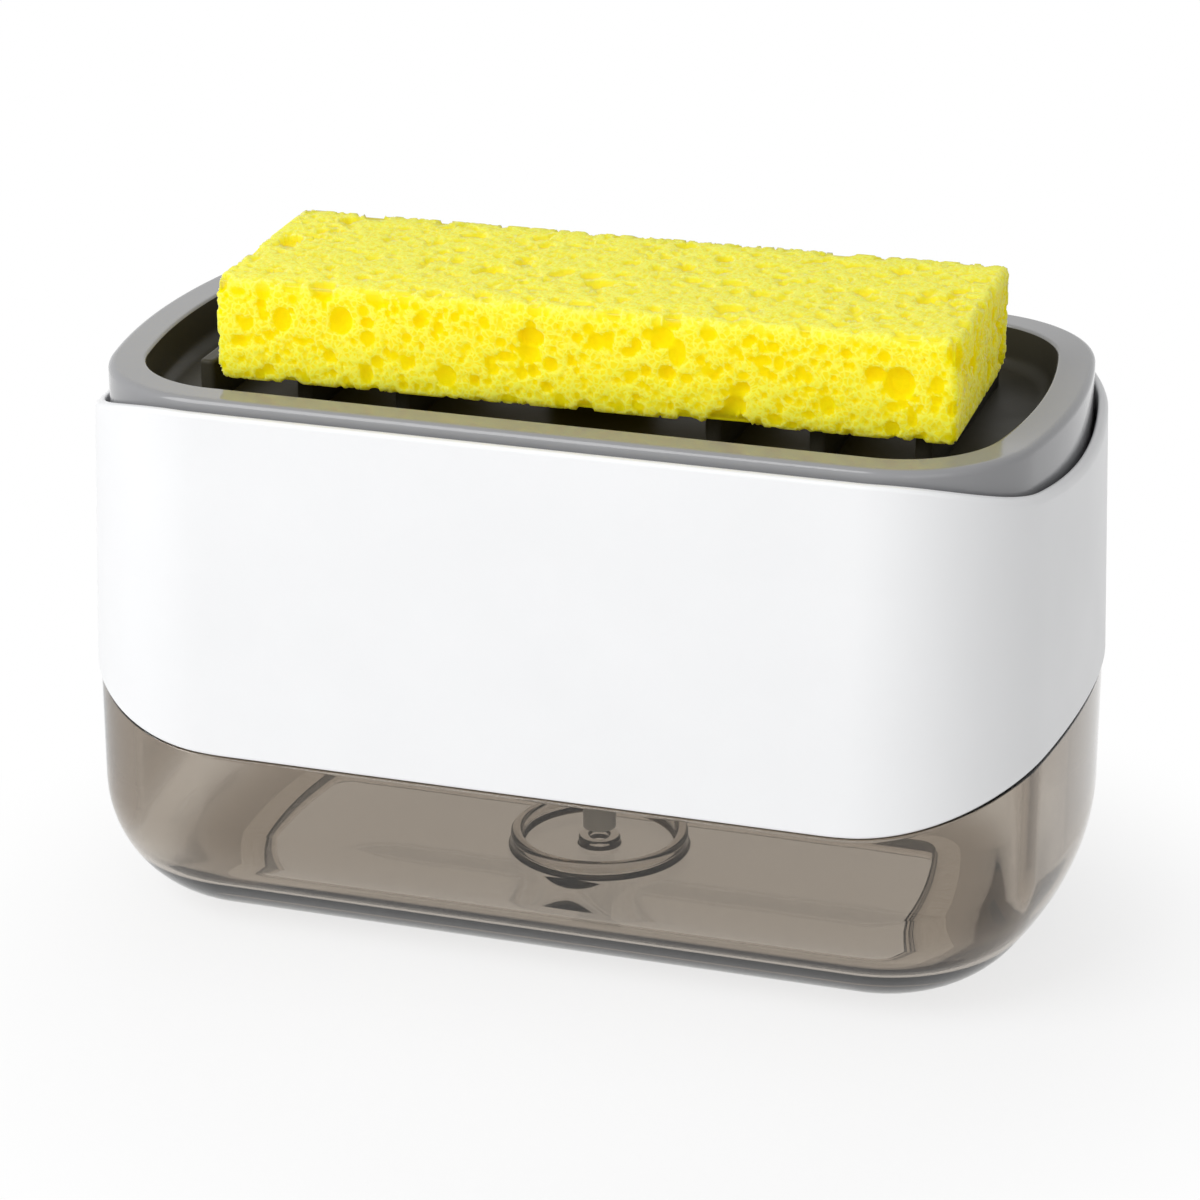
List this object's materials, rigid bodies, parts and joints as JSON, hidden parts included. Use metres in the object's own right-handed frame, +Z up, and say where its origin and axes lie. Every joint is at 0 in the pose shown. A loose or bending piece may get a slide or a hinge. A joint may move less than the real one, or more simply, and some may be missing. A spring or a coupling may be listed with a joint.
{
  "type": "soap pump caddy",
  "caption": "Countertop soap pump: smoked clear tank, white sleeve with a pump inside, and a grey press-down tray that holds a yellow sponge.",
  "frame": {"origin": "middle of the base, on the table", "axes": "+X along the length, +Y to the back, +Z up"},
  "size_m": [0.148, 0.0824, 0.0991],
  "materials": {
    "smoked_clear": "clear smoked, polished",
    "white_shell": "satin white",
    "grey_tray": "polished grey",
    "yellow_sponge": "open cells",
    "white_plastic": "moulded",
    "natural_plastic": "natural moulded",
    "seal_rubber": "soft",
    "spring_steel": "drawn wire",
    "ball_steel": "polished"
  },
  "bodies": {
    "tank": {"tank": "smoked_clear"},
    "housing": {"upper_housing": "white_shell", "tank_gasket": "seal_rubber", "pump_cylinder": "natural_plastic", "closure_gasket": "seal_rubber", "stem_guide": "natural_plastic", "pump_closure": "white_plastic", "ball_cage": "natural_plastic", "dip_tube": "natural_plastic", "return_spring": "spring_steel"},
    "inlet_ball": {"inlet_ball": "ball_steel"},
    "plunger": {"pump_stem": "white_plastic", "piston_seal": "seal_rubber", "piston_seat": "natural_plastic"},
    "outlet_ball": {"outlet_ball": "ball_steel"},
    "tray": {"sponge_tray": "grey_tray", "nozzle_cap": "grey_tray", "nozzle_o_ring": "seal_rubber"},
    "sponge": {"sponge": "yellow_sponge"}
  },
  "joints": [
    {"name": "housing_lift", "type": "slide", "parent": "tank", "child": "housing", "axis": [0, 0, 1], "range_m": [0, 0.07]},
    {"name": "pump_stroke", "type": "slide", "parent": "housing", "child": "plunger", "axis": [0, 0, -1], "range_m": [0, 0.01], "stiffness_N_per_m": 400, "springref_m": -0.012, "deforming": ["return_spring"]},
    {"name": "tray_pull_off", "type": "slide", "parent": "plunger", "child": "tray", "axis": [0, 0, 1], "range_m": [0, 0.03]},
    {"name": "sponge_lift", "type": "slide", "parent": "tray", "child": "sponge", "axis": [0, 0, 1], "range_m": [0, 0.05]},
    {"name": "inlet_ball_lift", "type": "slide", "parent": "housing", "child": "inlet_ball", "axis": [0, 0, 1], "range_m": [0, 0.0015]},
    {"name": "outlet_ball_lift", "type": "slide", "parent": "plunger", "child": "outlet_ball", "axis": [0, 0, 1], "range_m": [0, 0.0012]}
  ]
}
